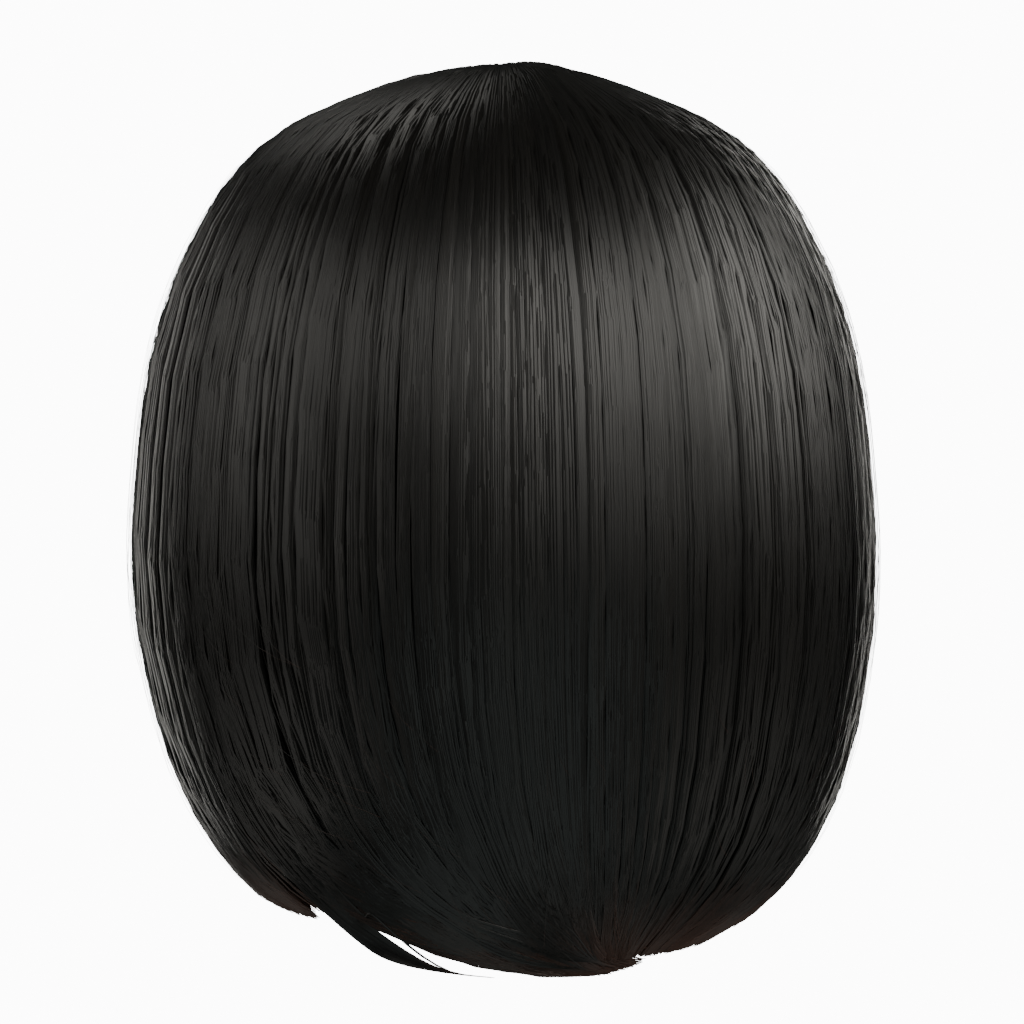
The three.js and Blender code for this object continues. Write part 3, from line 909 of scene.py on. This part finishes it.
    def stray_tress(self, fall: Fall, dice: np.random.Generator) -> Tress:
        """Single thin hairs that stand a little off the rest and cross it.

        Args:
            fall: the shape of the fall.
            dice: the section's own random numbers.

        Returns:
            The strands.
        """
        count = self.strays
        azimuth = np.sort(dice.uniform(self.start, self.end, count))
        turn = 0.2 * self.sweep(azimuth) + dice.normal(0, 6, count)
        if self.style is HemStyle.SWEPT:
            turn = np.clip(azimuth + turn, -134, 134) - azimuth
        end = self.hem_share(fall, azimuth + turn, turn) * dice.uniform(0.8, 1.0, count)
        stand = dice.uniform(*self.stray_stand, count)
        return Tress(
            azimuth=azimuth,
            centre=azimuth,
            start=dice.uniform(0.02, 0.6, count),
            end=np.minimum(end, LAST_SHARE),
            turn=turn,
            depth=np.full(count, 0.0004),
            groove=-stand,
            gather=np.zeros(count),
            width=dice.uniform(*self.stray_width, count),
            shade=dice.uniform(0.1, 0.6, count),
            wander=np.stack([dice.random(count), dice.normal(0, 1.3, count)], axis=-1),
        )

    def layered(self, fall: Fall, strands: Strands, tress: Tress, layer: np.ndarray) -> np.ndarray:
        """The middle lines of strands that keep their share of the wall's depth all the way down.

        Args:
            fall: the shape of the fall.
            strands: the maker of strands.
            tress: the strands.
            layer: each strand's depth, as a share of the wall.

        Returns:
            The points of each strand.
        """
        way, share = strands.ways(tress)
        azimuth = tress.azimuth[:, None] + tress.turn[:, None] * fall.swept(way)
        azimuth = azimuth + np.sin(7 * share + 6 * tress.wander[:, :1]) * tress.wander[:, 1:2]
        return fall.sunk(fall.surface(azimuth, share), layer[:, None] * fall.wall_at(share))

    def under_piece(self, node: bpy.types.Object, finish: bpy.types.Material) -> bpy.types.Object:
        """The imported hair: the section's own solid, drawn in under the strands and cut off above the hem.

        Args:
            node: the section's CAD node, which it stands for.
            finish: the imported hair's material.

        Returns:
            The new piece.
        """
        low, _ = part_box(self.node)
        piece = merged_copy(node, f"{self.node}_packed")
        bpy.ops.mesh.vertices_smooth(factor=0.4, repeat=2)
        bpy.ops.transform.shrink_fatten(value=-self.packed_inset)
        bpy.ops.mesh.select_all(action="SELECT")
        bpy.ops.mesh.bisect(
            plane_co=(0, 0, low.z + self.packed_end), plane_no=(0, 0, 1), use_fill=True, clear_inner=True
        )
        bpy.ops.object.mode_set(mode="OBJECT")
        bpy.ops.object.shade_smooth_by_angle(angle=CREASE_ANGLE)
        piece.data.materials.clear()
        piece.data.materials.append(finish)
        piece.select_set(False)
        return piece

    def build(self, fall: Fall, nodes: dict, hair: bpy.types.Material, packed: bpy.types.Material) -> None:
        """Builds the section's pieces and lets them stand for its CAD node.

        Args:
            fall: the shape of the fall.
            nodes: the CAD nodes by name.
            hair: the strands' material.
            packed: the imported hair's material.
        """
        dice = np.random.default_rng(self.seed)
        strands = Strands(fall)
        under = self.under_piece(nodes[self.node], packed)
        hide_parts(self.node)
        made = [under]
        tress = self.outer_tress(fall, dice)
        lines = strands.paths(tress)
        shuffled = dice.permutation(self.outer)
        parts = max(1, math.ceil(self.outer / self.piece_limit))
        for index, chosen in enumerate(np.array_split(shuffled, parts)):
            chosen = np.sort(chosen)
            name = f"{self.node}_strands_{index + 1}"
            made.append(strands.mesh(name, lines[chosen], tress.width[chosen], tress.shade[chosen]))
        made.append(self.inside_piece(fall, dice))
        made.extend(self.loose_pieces(fall, dice))
        for piece in made[1:]:
            piece.data.materials.append(hair)
        for piece in made:
            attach(piece, BODY)
            log.info("%s: %d faces", piece.name, len(piece.data.polygons))

    def loose_pieces(self, fall: Fall, dice: np.random.Generator) -> list[bpy.types.Object]:
        """The hairs that stand off the rest, and the section's loose locks.

        Args:
            fall: the shape of the fall.
            dice: the section's own random numbers.

        Returns:
            The new pieces.
        """
        strands = Strands(fall)
        made = []
        if self.strays:
            tress = self.stray_tress(fall, dice)
            made.append(strands.mesh(f"{self.node}_strays", strands.paths(tress), tress.width, tress.shade))
        for lock in self.loose_locks:
            strands = Strands(fall, rings=26)
            lines = lock.lines(fall, dice, strands.rings)
            width = dice.uniform(*self.strand_width, lock.strands) * 0.85
            shade = dice.uniform(0.2, 0.7, lock.strands)
            made.append(strands.mesh(f"{self.node}_{lock.name}", lines, width, shade))
        return made

    def inside_piece(self, fall: Fall, dice: np.random.Generator) -> bpy.types.Object:
        """The strands that line the hair's inside, fill its hem and close its open edges.

        Args:
            fall: the shape of the fall.
            dice: the section's own random numbers.

        Returns:
            The new piece.
        """
        strands = Strands(fall, rings=12)
        lines, widths, shades = [], [], []
        lining = self.plain_tress(fall, dice, self.inner, (0.9, 0.98), 0.12)
        filling = self.plain_tress(fall, dice, self.hem, (0.08, 0.9), self.filling_from)
        for tress, layer in ((lining, (0.88, 0.97)), (filling, (0.08, 0.9))):
            deep = dice.uniform(*layer, len(tress.azimuth))
            lines.append(self.layered(fall, strands, tress, deep))
            widths.append(tress.width)
            shades.append(tress.shade)
        for edge in self.edges:
            tress = self.plain_tress(fall, dice, self.edge_strands, (0.0, 1.0), self.edge_from)
            tress.azimuth = edge + dice.uniform(-0.25, 0.25, self.edge_strands)
            tress.turn = self.sweep(tress.azimuth) * 0.5
            deep = dice.uniform(0.0, 0.97, self.edge_strands)
            lines.append(self.layered(fall, strands, tress, deep))
            widths.append(tress.width)
            shades.append(tress.shade)
        return strands.mesh(
            f"{self.node}_inside", np.concatenate(lines), np.concatenate(widths), np.concatenate(shades)
        )


@dataclass
class Cap:
    """The stretch-net cap inside the hair, and the false scalp in the parting."""

    node: str = "cap"
    parting_node: str = "parting"

    def build(self, nodes: dict, net: bpy.types.Material, scalp: bpy.types.Material) -> None:
        """Builds the cap and the scalp strip in place of their CAD nodes.

        Args:
            nodes: the CAD nodes by name.
            net: the cap's material.
            scalp: the strip's material.
        """
        caps = [name for name in nodes if name.startswith(self.node)]
        for node, name, slot, finish in (
            *((cap, f"{cap}_net", "net", net) for cap in caps),
            (self.parting_node, "scalp_strip", "scalp", scalp),
        ):
            piece = merged_copy(nodes[node], name)
            bpy.ops.mesh.tris_convert_to_quads()
            bpy.ops.object.mode_set(mode="OBJECT")
            smooth = piece.modifiers.new("smooth", "SUBSURF")
            smooth.levels = smooth.render_levels = 1
            bpy.ops.object.modifier_apply(modifier=smooth.name)
            bpy.ops.object.shade_smooth_by_angle(angle=CREASE_ANGLE)
            piece.data.materials.clear()
            piece.data.materials.append(finish)
            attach(piece, BODY)
            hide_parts(node)
            log.info("%s: %d faces", piece.name, len(piece.data.polygons))


@dataclass(frozen=True)
class Studio:
    """The pale floor and backdrop, the soft lights and the camera."""

    camera_place: tuple = (-0.002465, 2.0, -0.1223)
    camera_lens: float = 242.4
    floor_height: float = -0.9
    floor_radius: float = 4.5
    room_radius: float = 7.0
    backdrop_glow: float = 12.0
    light_spread: float = 70.0
    warm_colour: tuple = (1.0, 0.975, 0.915)
    cool_colour: tuple = (0.88, 1.0, 0.97)
    middle: tuple = (0.0, 0.0, -0.12)

    def backdrop(self) -> None:
        """A pale dome all round and a pale floor under the wig, both seen by the camera alone."""
        bpy.ops.object.select_all(action="DESELECT")
        bpy.ops.mesh.primitive_uv_sphere_add(segments=64, ring_count=32, radius=self.room_radius)
        dome = bpy.context.active_object
        dome.name = "backdrop"
        paper = bpy.data.materials.new("white_backdrop")
        paper.use_nodes = True
        nodes, links = paper.node_tree.nodes, paper.node_tree.links
        nodes.remove(nodes["Principled BSDF"])
        glow = nodes.new("ShaderNodeEmission")
        glow.inputs["Color"].default_value = (1, 1, 1, 1)
        glow.inputs["Strength"].default_value = self.backdrop_glow
        links.new(glow.outputs["Emission"], nodes["Material Output"].inputs["Surface"])
        dome.data.materials.append(paper)
        bpy.ops.mesh.primitive_circle_add(
            vertices=128, radius=self.floor_radius, fill_type="NGON", location=(0, 0, self.floor_height)
        )
        floor = bpy.context.active_object
        floor.name = "floor"
        floor.data.materials.append(paper)
        for pale in (dome, floor):
            pale.visible_diffuse = pale.visible_glossy = pale.visible_shadow = False
            pale.visible_transmission = pale.visible_volume_scatter = False

    def softbox(
        self, name: str, azimuth: float, rise: float, away: float, size: tuple, power: float,
        colour: tuple | None = None,
    ) -> None:
        """A rectangular soft light that faces the wig.

        Args:
            name: the light's name.
            azimuth: where it stands, in degrees round from the back towards the wearer's left.
            rise: how high it stands, in degrees above the wig's middle.
            away: its distance from the wig's middle.
            size: its width and height.
            power: its power in watts.
            colour: its colour, or none for the studio's warm white.
        """
        a, e = math.radians(azimuth), math.radians(rise)
        way = Vector((math.sin(a) * math.cos(e), math.cos(a) * math.cos(e), math.sin(e)))
        lamp = bpy.data.lights.new(name, "AREA")
        lamp.shape = "RECTANGLE"
        lamp.size, lamp.size_y = size
        lamp.energy = power
        lamp.color = colour or self.warm_colour
        lamp.spread = math.radians(self.light_spread)
        light = bpy.data.objects.new(name, lamp)
        light.location = Vector(self.middle) + way * away
        light.rotation_mode = "QUATERNION"
        light.rotation_quaternion = way.to_track_quat("Z", "Y")
        bpy.context.scene.collection.objects.link(light)

    def build(self) -> None:
        """Sets up the whole studio."""
        self.backdrop()
        self.softbox("key_light", -38, 33, 1.6, (1.9, 0.9), 3.9)
        self.softbox("side_key_light", -104, 24, 1.6, (1.5, 0.9), 2.6)
        self.softbox("key_tail_light", -30, 9, 1.7, (2.0, 0.5), 0.6)
        self.softbox("fill_light", 44, 31, 1.7, (1.3, 0.9), 1.15)
        self.softbox("side_fill_light", 98, 20, 1.6, (1.4, 0.9), 0.9)
        self.softbox("fill_tail_light", 70, 0, 1.7, (2.0, 0.5), 0.4)
        self.softbox("low_light", -5, -22, 1.8, (3.0, 0.7), 0.55, self.cool_colour)
        self.softbox("low_left_light", 88, -32, 1.4, (1.5, 0.8), 0.4)
        self.softbox("low_right_light", -95, -32, 1.4, (1.5, 0.8), 0.28)
        self.softbox("under_light", -10, -52, 0.95, (1.8, 0.8), 0.4, self.cool_colour)
        self.softbox("hem_light", 180, -78, 0.78, (1.4, 1.0), 0.45)
        self.softbox("crown_light", 146, 48, 1.8, (0.8, 0.5), 0.3)
        self.softbox("left_rim_light", 147, -4, 1.3, (0.5, 1.1), 0.5)
        self.softbox("right_rim_light", -158, 5, 1.3, (0.4, 1.0), 0.6)
        world = bpy.data.worlds.new("studio")
        world.use_nodes = True
        world.node_tree.nodes["Background"].inputs["Color"].default_value = (0.85, 1, 1, 1)
        world.node_tree.nodes["Background"].inputs["Strength"].default_value = 0.02
        bpy.context.scene.world = world
        lens = bpy.data.cameras.new("camera")
        lens.lens = self.camera_lens
        lens.sensor_width = 36
        camera = bpy.data.objects.new("camera", lens)
        camera.location = self.camera_place
        camera.rotation_euler = (math.radians(90), 0, math.radians(180))
        bpy.context.scene.collection.objects.link(camera)
        bpy.context.scene.camera = camera


def measured_fall(section_names: Iterable[str]) -> Fall:
    """The shape of the fall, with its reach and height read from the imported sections.

    Args:
        section_names: the hair's CAD nodes.

    Returns:
        The shape.
    """
    stand, fluff = 0.0002, 0.0006
    boxes = [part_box(name) for name in section_names]
    low = Vector(min(box[0][axis] for box in boxes) for axis in range(3))
    high = Vector(max(box[1][axis] for box in boxes) for axis in range(3))
    top = 0.0083
    return Fall(
        side_reach=(high.x - low.x) / 2 + fluff,
        back_reach=high.y - stand,
        front_reach=-low.y - stand,
        top=top,
        height=(top - low.z) / LAST_SHARE,
    )


def main() -> None:
    """Builds the wig and its studio."""
    logging.basicConfig(level=logging.INFO, format="%(name)s: %(message)s")
    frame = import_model()
    nodes = frame["nodes"]
    hair = HairFinish().material()
    packed = UnderHairFinish().material()
    Cap().build(nodes, NetFinish().material(), ScalpFinish().material())
    sections = (
        HairSection(
            "hair_back", -62, 56, outer=3380, inner=380, hem=1000, seed=3, strays=34,
            creases=(37, 32.3, 26, 19, 8, -12, -37.7, -52), loose_locks=(WISP, FLICK, LONG_FLICK),
        ),
        HairSection(
            "hair_left", 56, 138, outer=1400, inner=230, hem=220, seed=5, strays=60,
            creases=(65.7, 84), edges=(137.6,), edge_strands=110,
        ),
        HairSection(
            "hair_right", -138, -62, outer=1400, inner=230, hem=220, seed=8, strays=60,
            creases=(-67, -88), edges=(-137.6,), edge_strands=110,
        ),
        HairSection(
            "fringe", 138, 222, outer=780, inner=180, hem=120, seed=13, strays=30,
            style=HemStyle.LEVEL, filling_from=0.2,
        ),
    )
    fall = measured_fall([section.node for section in sections])
    log.info("fall: %s", fall)
    for section in sections:
        section.build(fall, nodes, hair, packed)
    Studio().build()


if __name__ == "__main__":
    main()
